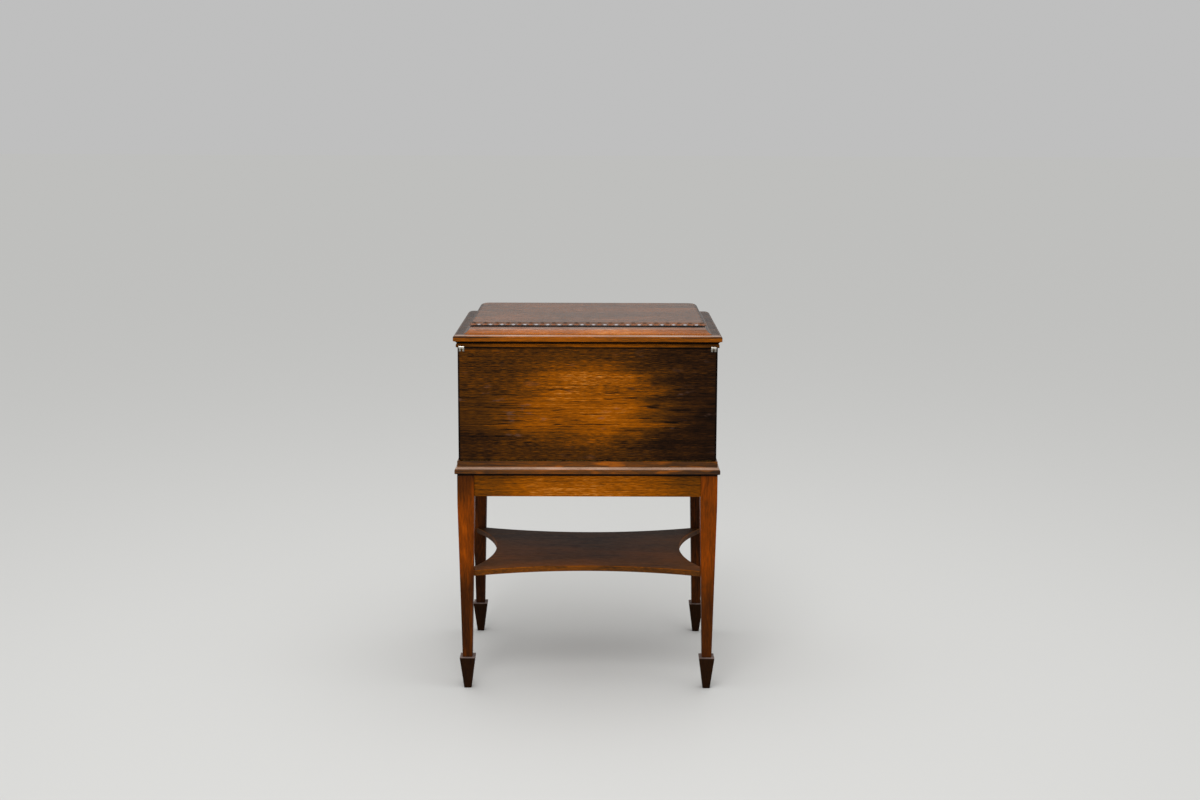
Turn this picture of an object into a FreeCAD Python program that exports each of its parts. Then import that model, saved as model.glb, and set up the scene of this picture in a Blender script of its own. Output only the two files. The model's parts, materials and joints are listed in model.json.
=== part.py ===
import FreeCAD, Part
import math
import os
import re

import Sketcher

# Oak cutlery cabinet: a box with a hinged lid and a falling front, on a stand with tapered legs.
# Millimetres, +Z up, the front towards -Y, the origin on the floor under the middle of the cabinet.

doc = FreeCAD.newDocument("cutlery_cabinet")

DRIVING_SIZES = {
    # stand
    "stand_width": 559,
    "stand_depth": 409,
    "leg_height": 483,
    "leg_side": 36,
    "leg_ankle": 21,
    "knee_height": 415,
    "foot_height": 71.5,
    "foot_ledge": 33.6,
    "foot_sole": 15.7,
    "rail_height": 50,
    "rail_thick": 18,
    "rail_setback": 2.5,
    "tenon_thick": 8,
    "tenon_length": 14,
    "tenon_shoulder": 6,
    # undershelf
    "shelf_top": 260,
    "shelf_thick": 12.5,
    "shelf_bite": 3.5,
    "shelf_front_grip": 5,
    "shelf_side_grip": 26,
    "shelf_front_hollow": 40,
    "shelf_side_hollow": 63,
    # base moulding
    "base_height": 28,
    "base_overhang": 5.2,
    "base_width": 34,
    "base_band_height": 13,
    "base_band_setback": 5.6,
    "base_nose_height": 7,
    "base_nose_round": 12,
    "base_chamfer": 1.5,
    # box
    "case_inset": 3.3,
    "case_back_inset": 1,
    "case_height": 246,
    "side_thick": 17,
    "back_thick": 10,
    "bottom_thick": 14,
    "inner_shelf_thick": 9,
    "drawer_opening": 72,
    # falling front
    "fall_inset": 2,
    "fall_thick": 12,
    "fall_gap": 0.3,
    "fall_foot_gap": 2,
    "fall_head_gap": 0.5,
    "fall_arris": 2.5,
    # lid
    "lid_gap": 0.5,
    "lid_overhang": 5.7,
    "lid_rail_height": 13.5,
    "lid_rail_width": 32,
    "lid_bead_setback": 5.6,
    "lid_bead_height": 7.8,
    "lid_bead_round": 2.5,
    "lid_hollow_reach": 5,
    "lid_hollow_round": 9,
    "lid_board_thick": 12.5,
    "lid_round_height": 3.5,
    "lid_round_width": 8.4,
    "cove_margin": 21,
    "cove_height": 14,
    "cove_width": 13,
    "cove_lip": 0.4,
    "cove_round": 20,
    "top_thick": 9.7,
    "top_quirk_height": 3,
    "top_quirk_depth": 5,
    "top_overhang": 2,
    "top_lip": 1.4,
    "top_round_width": 8,
    "lobe_pitch": 24.4,
    "lobe_crown": 2,
    "lobe_depth": 2.6,
    "lining_thick": 1.5,
    # hinges
    "leaf_thick": 1.4,
    "knuckle_gap": 0.4,
    "pin_clearance": 0.1,
    "lid_knuckle_radius": 2.6,
    "lid_pin_radius": 1.4,
    "lid_hinge_length": 60,
    "lid_hinge_spacing": 330,
    "lid_leaf_width": 9,
    "fall_knuckle_radius": 1.2,
    "fall_pin_radius": 0.6,
    "fall_hinge_length": 534,
    "fall_groove_gap": 0.35,
    "fall_leaf_width": 9,
    # catch plates
    "catch_width": 11.4,
    "catch_setback": 8.7,
    "catch_height": 8.2,
    "catch_thick": 1.3,
    "catch_roll_radius": 2.1,
    "catch_clearance": 0.4,
    "catch_slot_width": 3,
    "catch_slot_height": 3,
    "catch_screw_radius": 2,
    "catch_screw_drop": 3.6,
    "catch_screw_head": 0.9,
    "catch_screw_slot": 0.6,
    # tray and drawers
    "tray_clearance": 1,
    "tray_height": 58,
    "tray_wall": 8,
    "tray_bottom_thick": 5,
    "tray_partition": 6,
    "tray_partition_height": 34,
    "drawer_clearance": 0.8,
    "drawer_front_thick": 12,
    "drawer_wall": 8,
    "drawer_bottom_thick": 5,
    "drawer_back_gap": 40.5,
    "drawer_chamfer": 1.5,
    "knob_spacing": 300,
    "knob_length": 11,
    "knob_radius": 6.5,
    "knob_neck_radius": 3,
    "knob_neck_length": 5,
    "knob_rim": 2,
    "knob_clearance": 2.5,
}

sizes = doc.addObject("Spreadsheet::Sheet", "sizes")
for row, (name, value) in enumerate(DRIVING_SIZES.items(), start=1):
    sizes.set(f"A{row}", name)
    sizes.set(f"B{row}", str(value))
    sizes.setAlias(f"B{row}", name)
doc.recompute()

# Places that several pieces share, as formulas of the driving sizes.
HALF_WIDTH = "stand_width / 2"
HALF_DEPTH = "stand_depth / 2"
LEG_X = "(stand_width - leg_side) / 2"
LEG_Y = "(stand_depth - leg_side) / 2"
BASE_TOP = "(leg_height + base_height)"
CASE_TOP = f"({BASE_TOP} + case_height)"
CASE_X = f"({HALF_WIDTH} - case_inset)"
CASE_INNER_X = f"({CASE_X} - side_thick)"
CASE_BACK = f"({HALF_DEPTH} - case_back_inset)"
CASE_INNER_BACK = f"({CASE_BACK} - back_thick)"
FALL_FACE = f"(fall_inset - {HALF_DEPTH})"
FALL_INNER = f"({FALL_FACE} + fall_thick)"
CASE_FRONT = f"({FALL_INNER} + fall_gap)"
FALL_FOOT = f"({BASE_TOP} + fall_foot_gap)"
FALL_HEAD = f"({CASE_TOP} - fall_head_gap)"
CASE_FLOOR = f"({BASE_TOP} + bottom_thick)"
DRAWER_FACE = f"({FALL_INNER} + knob_clearance + knob_length)"
LID_FOOT = f"({CASE_TOP} + lid_gap)"
LID_X = f"({HALF_WIDTH} + lid_overhang)"
LID_FRONT = f"({HALF_DEPTH} + lid_overhang)"
LID_AXIS_Y = f"({LID_FRONT} - lid_knuckle_radius)"
LID_AXIS_Z = f"({CASE_TOP} + lid_gap / 2)"
LID_BACK = f"({LID_AXIS_Y} - lid_knuckle_radius - knuckle_gap)"
LID_BOARD_FOOT = f"({LID_FOOT} + lid_rail_height)"
COVE_FOOT = f"({LID_BOARD_FOOT} + lid_board_thick)"
TOP_FOOT = f"({COVE_FOOT} + cove_height)"
TOP_FACE = f"({TOP_FOOT} + top_thick)"
FALL_AXIS_Z = f"({BASE_TOP} + fall_foot_gap / 2)"


def number(formula):
    """The value of a formula of the driving sizes."""
    return float(sizes.evalExpression(formula))


def bind(thing, prop, formula):
    """Bind a property to a formula of the driving sizes."""
    words = re.sub(r"[a-z_]+", lambda word: f"sizes.{word[0]}" if word[0] in DRIVING_SIZES else word[0],
                   str(formula))
    thing.setExpression(prop, words)


def place(thing, x="0", y="0", z="0", turn=0):
    """Put a sub-part at its place, turned about the upright axis by whole degrees."""
    thing.Placement = FreeCAD.Placement(FreeCAD.Vector(), FreeCAD.Rotation(FreeCAD.Vector(0, 0, 1), turn))
    bind(thing, "Placement.Base.x", x)
    bind(thing, "Placement.Base.y", y)
    bind(thing, "Placement.Base.z", z)


def board(label, x, y, z):
    """A plain board between two formulas on each axis."""
    box = doc.addObject("Part::Box", label)
    box.Label = label
    for length, (low, high) in zip(("Length", "Width", "Height"), (x, y, z)):
        bind(box, length, f"({high}) - ({low})")
    place(box, x[0], y[0], z[0])
    return box


def body(label):
    """An empty PartDesign body for one piece."""
    made = doc.addObject("PartDesign::Body", label)
    made.Label = label
    return made


def sketch_on(piece, plane, lift="0"):
    """A sketch on one of the body's own origin planes, lifted along the plane's normal."""
    sketch = piece.newObject("Sketcher::SketchObject", "sketch")
    support = next(feature for feature in piece.Origin.OriginFeatures if feature.Role == plane)
    sketch.AttachmentSupport = [(support, "")]
    sketch.MapMode = "FlatFace"
    bind(sketch, "AttachmentOffset.Base.z", lift)
    return sketch


def outline(sketch, points, bends=None):
    """Draw a closed outline, anticlockwise, through points given as pairs of formulas.

    bends gives the side that leaves a point a radius: a round side swells outwards, a hollow one inwards.
    """
    bends = bends or {}
    spots = [FreeCAD.Vector(number(x), number(y), 0) for x, y in points]
    first = sketch.GeometryCount
    ends = []
    for index, start in enumerate(spots):
        stop = spots[(index + 1) % len(spots)]
        if index not in bends:
            sketch.addGeometry(Part.LineSegment(start, stop))
            ends.append((1, 2))
            continue
        shape, radius_formula = bends[index]
        radius = number(radius_formula)
        chord = stop - start
        inward = FreeCAD.Vector(-chord.y, chord.x, 0).normalize()
        reach = math.sqrt(max(radius ** 2 - (chord.Length / 2) ** 2, 0))
        centre = (start + stop) / 2 + inward * (reach if shape == "round" else -reach)
        from_spot, to_spot = (start, stop) if shape == "round" else (stop, start)
        from_angle = math.atan2(from_spot.y - centre.y, from_spot.x - centre.x)
        to_angle = math.atan2(to_spot.y - centre.y, to_spot.x - centre.x)
        circle = Part.Circle(centre, FreeCAD.Vector(0, 0, 1), radius)
        sketch.addGeometry(Part.ArcOfCircle(circle, from_angle, to_angle))
        ends.append((1, 2) if shape == "round" else (2, 1))
    for index, (x, y) in enumerate(points):
        side = first + index
        before = (index - 1) % len(points)
        corner = ends[index][0]
        sketch.addConstraint(Sketcher.Constraint("Coincident", first + before, ends[before][1], side, corner))
        across = sketch.addConstraint(Sketcher.Constraint("DistanceX", -1, 1, side, corner, spots[index].x))
        bind(sketch, f"Constraints[{across}]", x)
        along = sketch.addConstraint(Sketcher.Constraint("DistanceY", -1, 1, side, corner, spots[index].y))
        bind(sketch, f"Constraints[{along}]", y)
        if index in bends:
            radius_formula = bends[index][1]
            round_size = sketch.addConstraint(Sketcher.Constraint("Radius", side, number(radius_formula)))
            bind(sketch, f"Constraints[{round_size}]", radius_formula)


def circle(sketch, x, y, radius):
    """Draw a circle about a centre given as formulas."""
    centre = FreeCAD.Vector(number(x), number(y), 0)
    index = sketch.addGeometry(Part.Circle(centre, FreeCAD.Vector(0, 0, 1), number(radius)))
    across = sketch.addConstraint(Sketcher.Constraint("DistanceX", -1, 1, index, 3, centre.x))
    bind(sketch, f"Constraints[{across}]", x)
    along = sketch.addConstraint(Sketcher.Constraint("DistanceY", -1, 1, index, 3, centre.y))
    bind(sketch, f"Constraints[{along}]", y)
    size = sketch.addConstraint(Sketcher.Constraint("Radius", index, number(radius)))
    bind(sketch, f"Constraints[{size}]", radius)


def rectangle(sketch, low_x, high_x, low_y, high_y):
    """Draw a rectangle between two formulas on each axis."""
    outline(sketch, [(low_x, low_y), (high_x, low_y), (high_x, high_y), (low_x, high_y)])


def pad(piece, sketch, length, both_ways=False):
    """Pad a sketch, one way along its normal or half each way."""
    feature = piece.newObject("PartDesign::Pad", "pad")
    feature.Profile = sketch
    feature.SideType = "Symmetric" if both_ways else "One side"
    bind(feature, "Length", length)
    sketch.Visibility = False
    piece.Tip = feature
    return feature


def pocket_through(piece, sketch):
    """Cut a sketch right through the body, both ways along its normal."""
    feature = piece.newObject("PartDesign::Pocket", "pocket")
    feature.Profile = sketch
    feature.SideType = "Symmetric"
    feature.Type = "ThroughAll"
    sketch.Visibility = False
    piece.Tip = feature
    return feature


def repeat(piece, features, axis, spacing, count):
    """Repeat features along one of the body's own axes."""
    pattern = piece.newObject("PartDesign::LinearPattern", "pattern")
    pattern.Originals = features
    direction = next(feature for feature in piece.Origin.OriginFeatures if feature.Role == axis)
    pattern.Direction = (direction, [""])
    bind(pattern, "Length", f"({spacing}) * {count - 1}")
    pattern.Occurrences = count
    piece.Tip = pattern
    return pattern


def cut(label, base, *tools):
    """A piece that is let in round other pieces."""
    made = doc.addObject("Part::Cut", label)
    made.Label = label
    made.Base = base
    made.Tool = tools[0] if len(tools) == 1 else group(label + "_tools", *tools)
    return made


def group(label, *pieces):
    """Several like solids under one name."""
    made = doc.addObject("Part::Compound", label)
    made.Label = label
    made.Links = list(pieces)
    return made


def fused(label, *pieces):
    """One piece worked from several simple solids."""
    made = doc.addObject("Part::MultiFuse", label)
    made.Label = label
    made.Shapes = list(pieces)
    made.Refine = True
    return made


def common(label, one, other):
    """What two bodies share, such as two moulded runs that meet in mitres."""
    made = doc.addObject("Part::MultiCommon", label)
    made.Label = label
    made.Shapes = [one, other]
    return made


SUB_PARTS = []


def keep(piece):
    """Add a finished sub-part to the cabinet."""
    SUB_PARTS.append(piece)
    return piece


CORNERS = {
    "front_left": (-1, -1),
    "front_right": (1, -1),
    "back_left": (-1, 1),
    "back_right": (1, 1),
}


# Stand rails, with a tenon at each end that goes into the legs.
def stand_rail(label, across_front, sign):
    inner_x = f"({LEG_X} - leg_side / 2)"
    inner_y = f"({LEG_Y} - leg_side / 2)"
    half_run = inner_x if across_front else inner_y
    face = f"({HALF_DEPTH if across_front else HALF_WIDTH} - rail_setback)"
    middle = f"{sign} * ({face} - rail_thick / 2)"
    spans = []
    for thick, run, foot, head in (
        ("rail_thick", half_run, "leg_height - rail_height", "leg_height"),
        ("tenon_thick", f"({half_run} + tenon_length)", "leg_height - rail_height + tenon_shoulder",
         "leg_height - tenon_shoulder"),
    ):
        long_way = (f"-{run}", run)
        short_way = (f"{middle} - {thick} / 2", f"{middle} + {thick} / 2")
        x, y = (long_way, short_way) if across_front else (short_way, long_way)
        spans.append(board(f"{label}_{thick}", x, y, (foot, head)))
    return fused(label, *spans)


rails = {
    "front": stand_rail("rail_front", True, -1),
    "back": stand_rail("rail_back", True, 1),
    "left": stand_rail("rail_left", False, -1),
    "right": stand_rail("rail_right", False, 1),
}
for rail in rails.values():
    keep(rail)


# Legs: square above the knee, then tapered on all four faces down to the ankle on the spade foot.
def tapered(label, low_side, low_height, high_side, high_height, x, y):
    """A square piece whose side changes evenly with height: a wedge, which tapers along Y, stood up."""
    wedge = doc.addObject("Part::Wedge", label)
    wedge.Label = label
    for low, high, side in (("Xmin", "Xmax", low_side), ("Zmin", "Zmax", low_side),
                            ("X2min", "X2max", high_side), ("Z2min", "Z2max", high_side)):
        bind(wedge, low, f"-{side} / 2")
        bind(wedge, high, f"{side} / 2")
    wedge.Ymin = 0
    bind(wedge, "Ymax", f"{high_height} - {low_height}")
    upright = FreeCAD.Rotation(FreeCAD.Vector(1, 0, 0), 90)
    wedge.Placement = FreeCAD.Placement(FreeCAD.Vector(), upright)
    bind(wedge, "Placement.Base.x", x)
    bind(wedge, "Placement.Base.y", y)
    bind(wedge, "Placement.Base.z", low_height)
    return wedge


legs = []
for corner, (side_x, side_y) in CORNERS.items():
    x = f"{side_x} * {LEG_X}"
    y = f"{side_y} * {LEG_Y}"
    keep(tapered(f"spade_foot_{corner}", "foot_sole", "0", "foot_ledge", "foot_height", x, y))
    shin = tapered(f"leg_{corner}_shin", "leg_ankle", "foot_height", "leg_side", "knee_height", x, y)
    knee = board(f"leg_{corner}_knee", (f"{x} - leg_side / 2", f"{x} + leg_side / 2"),
                 (f"{y} - leg_side / 2", f"{y} + leg_side / 2"), ("knee_height", "leg_height"))
    leg = fused(f"leg_{corner}_blank", shin, knee)
    legs.append(leg)
    row, column = corner.split("_")
    keep(cut(f"leg_{corner}", leg, rails[row], rails[column]))

# Undershelf: a board with hollow edges all round, notched to the inner corners of the legs.
LEG_SLOPE = "(leg_side - leg_ankle) / (knee_height - foot_height)"
LEG_HALF = f"((leg_ankle + {LEG_SLOPE} * (shelf_top - foot_height)) / 2)"
LEG_INNER_X = f"({LEG_X} - {LEG_HALF})"
LEG_INNER_Y = f"({LEG_Y} - {LEG_HALF})"
FRONT_END = (f"({LEG_INNER_X} + shelf_bite)", f"({LEG_INNER_Y} + shelf_front_grip)")
SIDE_END = (f"({LEG_INNER_X} + shelf_side_grip)", f"({LEG_INNER_Y} + shelf_bite)")


def hollow_radius(half_chord, depth):
    return f"({half_chord} * {half_chord} + {depth} * {depth}) / (2 * {depth})"


shelf = body("undershelf_blank")
shelf_sketch = sketch_on(shelf, "XY_Plane", "shelf_top - shelf_thick")
front_bend = ("hollow", hollow_radius(FRONT_END[0], "shelf_front_hollow"))
side_bend = ("hollow", hollow_radius(SIDE_END[1], "shelf_side_hollow"))
outline(
    shelf_sketch,
    [
        (f"-{FRONT_END[0]}", f"-{FRONT_END[1]}"),
        (FRONT_END[0], f"-{FRONT_END[1]}"),
        (SIDE_END[0], f"-{SIDE_END[1]}"),
        SIDE_END,
        FRONT_END,
        (f"-{FRONT_END[0]}", FRONT_END[1]),
        (f"-{SIDE_END[0]}", SIDE_END[1]),
        (f"-{SIDE_END[0]}", f"-{SIDE_END[1]}"),
    ],
    {0: front_bend, 2: side_bend, 4: front_bend, 6: side_bend},
)
pad(shelf, shelf_sketch, "shelf_thick")
keep(cut("undershelf", shelf, *legs))


# Moulded strips: a section that looks towards -Y, run along X, mitred where it meets a neighbour.
def strip(label, section, bends, half_run, depth, mitres, turn, at):
    piece = body(label)
    profile = sketch_on(piece, "YZ_Plane")
    outline(profile, section, bends)
    pad(piece, profile, f"2 * {half_run}", both_ways=True)
    for end in mitres:
        wedge = sketch_on(piece, "XY_Plane")
        corner = [(f"{end} * {half_run}", "0"), (f"{end} * {half_run}", depth),
                  (f"{end} * ({half_run} - {depth})", depth)]
        outline(wedge, corner if end > 0 else corner[::-1])
        pocket_through(piece, wedge)
    place(piece, *at, turn=turn)
    return piece


# Base moulding: a band, a rounded nose, an upright face and a small chamfer, on three sides.
BASE_X = f"({HALF_WIDTH} + base_overhang)"
BASE_FRONT = f"({HALF_DEPTH} + base_overhang)"
BASE_SIDE_HALF = f"(({BASE_FRONT} + {HALF_DEPTH}) / 2)"
BASE_SIDE_Y = f"(({HALF_DEPTH} - {BASE_FRONT}) / 2)"
base_section = [
    ("base_chamfer", "leg_height"),
    ("base_width", "leg_height"),
    ("base_width", BASE_TOP),
    ("base_band_setback", BASE_TOP),
    ("base_band_setback", f"{BASE_TOP} - base_band_height"),
    ("0", f"{BASE_TOP} - base_band_height - base_nose_height"),
    ("0", "leg_height + base_chamfer"),
]
base_bends = {4: ("round", "base_nose_round")}
base_front = strip("base_front_blank", base_section, base_bends, BASE_X, "base_width", (-1, 1), 0,
                   ("0", f"-{BASE_FRONT}"))
keep(strip("base_moulding_left", base_section, base_bends, BASE_SIDE_HALF, "base_width", (1,), -90,
           (f"-{BASE_X}", BASE_SIDE_Y)))
keep(strip("base_moulding_right", base_section, base_bends, BASE_SIDE_HALF, "base_width", (-1,), 90,
           (BASE_X, BASE_SIDE_Y)))
BASE_INNER_X = f"({BASE_X} - base_width)"
keep(board("base_rail_back", (f"-{BASE_INNER_X}", BASE_INNER_X),
           (f"{HALF_DEPTH} - base_width", HALF_DEPTH), ("leg_height", BASE_TOP)))


# Hinges: two leaves on a pin along X, the axis at the body's origin. The knuckles alternate, the lower leaf
# has the outer ones, and a tongue joins each knuckle to its leaf.
def hinge_leaf(label, upper, half_length, knuckles, plate, tongue, radius, pin_radius):
    piece = body(label)
    count = knuckles // 2 if upper else knuckles - knuckles // 2
    pitch = f"(2 * {half_length} / {knuckles})"
    first = f"({pitch} * {1.5 if upper else 0.5} - {half_length})"
    length = f"{pitch} - knuckle_gap"
    flip = "1" if upper else "-1"

    def section(lift, low_y, high_y, near_z, far_z):
        sketch = sketch_on(piece, "YZ_Plane", lift)
        heights = [f"{flip} * ({near_z})", f"{flip} * ({far_z})"]
        rectangle(sketch, low_y, high_y, *(heights if upper else heights[::-1]))
        return sketch

    pad(piece, section("0", *plate), f"2 * {half_length}", both_ways=True)
    ring = sketch_on(piece, "YZ_Plane", first)
    circle(ring, "0", "0", radius)
    barrel = pad(piece, ring, length, both_ways=True)
    joiner = pad(piece, section(first, *tongue), length, both_ways=True)
    if count > 1:
        repeat(piece, [barrel, joiner], "X_Axis", f"2 * {pitch}", count)
    bore = sketch_on(piece, "YZ_Plane")
    circle(bore, "0", "0", f"{pin_radius} + pin_clearance")
    pocket_through(piece, bore)
    return piece


def hinge_pin(label, half_length, radius):
    piece = body(label)
    ring = sketch_on(piece, "YZ_Plane")
    circle(ring, "0", "0", radius)
    pad(piece, ring, f"2 * {half_length}", both_ways=True)
    return piece


# Falling front: a board hung at its foot on a long slim hinge, let into the front and the base moulding.
# A groove in both makes room for the knuckles.
FALL_KNUCKLES = 12
FALL_HALF_HINGE = "(fall_hinge_length / 2)"
FALL_LEVEL = "fall_foot_gap / 2"
FALL_NEAR = "(fall_knuckle_radius + knuckle_gap)"
fall_plate = (FALL_NEAR, "fall_leaf_width", FALL_LEVEL, f"{FALL_LEVEL} + leaf_thick")
fall_tongue = ("fall_pin_radius", FALL_NEAR, "0", f"{FALL_LEVEL} + leaf_thick")
fall_leaves = {}
for name, upper in (("fall_hinge_leaf", True), ("base_hinge_leaf", False)):
    fall_leaves[name] = keep(hinge_leaf(name, upper, FALL_HALF_HINGE, FALL_KNUCKLES, fall_plate, fall_tongue,
                                        "fall_knuckle_radius", "fall_pin_radius"))
    place(fall_leaves[name], "0", FALL_FACE, FALL_AXIS_Z)
fall_pin = keep(hinge_pin("fall_hinge_pin", FALL_HALF_HINGE, "fall_pin_radius"))
place(fall_pin, "0", FALL_FACE, FALL_AXIS_Z)
groove = hinge_pin("fall_groove", f"({FALL_HALF_HINGE} + knuckle_gap)",
                   "fall_knuckle_radius + fall_groove_gap")
place(groove, "0", FALL_FACE, FALL_AXIS_Z)
keep(cut("base_moulding_front", base_front, fall_leaves["base_hinge_leaf"], groove))

fall = body("fall_board")
fall_plan = sketch_on(fall, "XY_Plane", FALL_FOOT)
outline(
    fall_plan,
    [
        (f"-({CASE_X} - fall_arris)", FALL_FACE),
        (f"{CASE_X} - fall_arris", FALL_FACE),
        (CASE_X, f"{FALL_FACE} + fall_arris"),
        (CASE_X, FALL_INNER),
        (f"-{CASE_X}", FALL_INNER),
        (f"-{CASE_X}", f"{FALL_FACE} + fall_arris"),
    ],
    {1: ("round", "fall_arris"), 5: ("round", "fall_arris")},
)
pad(fall, fall_plan, f"{FALL_HEAD} - {FALL_FOOT}")
keep(cut("fall_front", fall, fall_leaves["fall_hinge_leaf"], groove))

# Catch plates: a plate on the front, forked at its foot, a flange under the lid's bead and a rolled lip.
BEAD_FACE = f"(lid_bead_setback - {LID_FRONT})"
CATCH_X = f"({CASE_X} - catch_setback)"
ROLL_Y = f"({BEAD_FACE} - catch_clearance - catch_roll_radius)"
FLANGE_TOP = f"({LID_FOOT} - catch_clearance)"
ROLL_Z = f"({FLANGE_TOP} - catch_thick / 2 + catch_roll_radius)"
SCREW_Z = f"({CASE_TOP} - catch_screw_drop)"
CATCH_FOOT = f"({CASE_TOP} - catch_height)"
screws = []
for side, sign in (("left", -1), ("right", 1)):
    catch = keep(body(f"catch_plate_{side}"))
    plate = sketch_on(catch, "YZ_Plane")
    outline(
        plate,
        [
            (f"{FALL_FACE} - catch_thick", CATCH_FOOT),
            (FALL_FACE, CATCH_FOOT),
            (FALL_FACE, FLANGE_TOP),
            (ROLL_Y, FLANGE_TOP),
            (ROLL_Y, f"{FLANGE_TOP} - catch_thick"),
            (f"{FALL_FACE} - catch_thick", f"{FLANGE_TOP} - catch_thick"),
        ],
    )
    pad(catch, plate, "catch_width", both_ways=True)
    roll = sketch_on(catch, "YZ_Plane")
    circle(roll, ROLL_Y, ROLL_Z, "catch_roll_radius")
    pad(catch, roll, "catch_width", both_ways=True)
    fork = sketch_on(catch, "XZ_Plane")
    rectangle(fork, "-catch_slot_width / 2", "catch_slot_width / 2", f"{CATCH_FOOT} - catch_slot_height",
              f"{CATCH_FOOT} + catch_slot_height")
    pocket_through(catch, fork)
    place(catch, f"{sign} * {CATCH_X}")

    screw = body(f"catch_screw_{side}")
    head = sketch_on(screw, "XZ_Plane", f"catch_thick - {FALL_FACE}")
    circle(head, "0", SCREW_Z, "catch_screw_radius")
    pad(screw, head, "catch_screw_head")
    slot = sketch_on(screw, "YZ_Plane")
    slot_floor = f"{FALL_FACE} - catch_thick - catch_screw_head / 2"
    rectangle(slot, f"{slot_floor} - catch_screw_head", slot_floor, f"{SCREW_Z} - catch_screw_slot / 2",
              f"{SCREW_Z} + catch_screw_slot / 2")
    pocket_through(screw, slot)
    place(screw, f"{sign} * {CATCH_X}")
    screws.append(screw)
keep(group("catch_screws", *screws))

# Lid hinges: two stopped butt hinges behind the back of the box.
LID_KNUCKLES = 3
LID_HALF_HINGE = "(lid_hinge_length / 2)"
LID_LEVEL = "lid_gap / 2"
LID_NEAR = "(lid_knuckle_radius + knuckle_gap)"
lid_plate = (f"-({LID_NEAR} + lid_leaf_width)", f"-{LID_NEAR}", LID_LEVEL, f"{LID_LEVEL} + leaf_thick")
lid_tongue = (f"-{LID_NEAR}", "0", LID_LEVEL, f"{LID_LEVEL} + leaf_thick")
lid_hinge_pieces = {"lid_hinge_leaves": [], "case_hinge_leaves": [], "lid_hinge_pins": []}
for side, sign in (("left", -1), ("right", 1)):
    for name, upper in (("lid_hinge_leaves", True), ("case_hinge_leaves", False)):
        leaf = hinge_leaf(f"{name}_{side}", upper, LID_HALF_HINGE, LID_KNUCKLES, lid_plate, lid_tongue,
                          "lid_knuckle_radius", "lid_pin_radius")
        lid_hinge_pieces[name].append(leaf)
    pin = hinge_pin(f"lid_hinge_pin_{side}", LID_HALF_HINGE, "lid_pin_radius")
    lid_hinge_pieces["lid_hinge_pins"].append(pin)
    for pieces in lid_hinge_pieces.values():
        place(pieces[-1], f"{sign} * lid_hinge_spacing / 2", LID_AXIS_Y, LID_AXIS_Z)
lid_hinges = {name: keep(group(name, *pieces)) for name, pieces in lid_hinge_pieces.items()}

# Box: sides and back stand on the base, the bottom lies between them, two shelves carry drawer and tray.
for side, sign in (("left", -1), ("right", 1)):
    faces = (CASE_INNER_X, CASE_X) if sign > 0 else (f"-{CASE_X}", f"-{CASE_INNER_X}")
    keep(board(f"case_side_{side}", faces, (CASE_FRONT, CASE_BACK), (BASE_TOP, CASE_TOP)))
BETWEEN_SIDES = (f"-{CASE_INNER_X}", CASE_INNER_X)
back = board("case_back_blank", BETWEEN_SIDES, (CASE_INNER_BACK, CASE_BACK), (BASE_TOP, CASE_TOP))
keep(cut("case_back", back, lid_hinges["case_hinge_leaves"]))
keep(board("case_bottom", BETWEEN_SIDES, (CASE_FRONT, CASE_INNER_BACK), (BASE_TOP, CASE_FLOOR)))
DRAWER_SHELF = f"({CASE_FLOOR} + drawer_opening)"
UPPER_FLOOR = f"({DRAWER_SHELF} + inner_shelf_thick)"
TRAY_SHELF = f"({UPPER_FLOOR} + drawer_opening)"
TRAY_FLOOR = f"({TRAY_SHELF} + inner_shelf_thick)"
keep(board("drawer_shelf", BETWEEN_SIDES, (DRAWER_FACE, CASE_INNER_BACK), (DRAWER_SHELF, UPPER_FLOOR)))
keep(board("tray_shelf", BETWEEN_SIDES, (CASE_FRONT, CASE_INNER_BACK), (TRAY_SHELF, TRAY_FLOOR)))

# Tray: four walls round a bottom, on the upper shelf, with partitions that part the cutlery.
TRAY_X = f"({CASE_INNER_X} - tray_clearance)"
TRAY_INNER_X = f"({TRAY_X} - tray_wall)"
TRAY_FRONT = f"({CASE_FRONT} + tray_clearance)"
TRAY_BACK = f"({CASE_INNER_BACK} - tray_clearance)"
TRAY_INNER_FRONT = f"({TRAY_FRONT} + tray_wall)"
TRAY_INNER_BACK = f"({TRAY_BACK} - tray_wall)"
TRAY_HEIGHTS = (TRAY_FLOOR, f"{TRAY_FLOOR} + tray_height")
keep(board("tray_front", (f"-{TRAY_X}", TRAY_X), (TRAY_FRONT, TRAY_INNER_FRONT), TRAY_HEIGHTS))
keep(board("tray_back", (f"-{TRAY_X}", TRAY_X), (TRAY_INNER_BACK, TRAY_BACK), TRAY_HEIGHTS))
TRAY_RUN = (TRAY_INNER_FRONT, TRAY_INNER_BACK)
keep(board("tray_left", (f"-{TRAY_X}", f"-{TRAY_INNER_X}"), TRAY_RUN, TRAY_HEIGHTS))
keep(board("tray_right", (TRAY_INNER_X, TRAY_X), TRAY_RUN, TRAY_HEIGHTS))
TRAY_BED = f"({TRAY_FLOOR} + tray_bottom_thick)"
keep(board("tray_bottom", (f"-{TRAY_INNER_X}", TRAY_INNER_X), TRAY_RUN, (TRAY_FLOOR, TRAY_BED)))
PARTITIONS = 4
CELL = f"(2 * {TRAY_INNER_X} / {PARTITIONS + 1})"
partitions = []
for index in range(PARTITIONS):
    middle = f"({CELL} * {index + 1} - {TRAY_INNER_X})"
    partitions.append(board(f"tray_partition_{index + 1}",
                            (f"{middle} - tray_partition / 2", f"{middle} + tray_partition / 2"),
                            TRAY_RUN, (TRAY_BED, f"{TRAY_BED} + tray_partition_height")))
keep(group("tray_partitions", *partitions))


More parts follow.
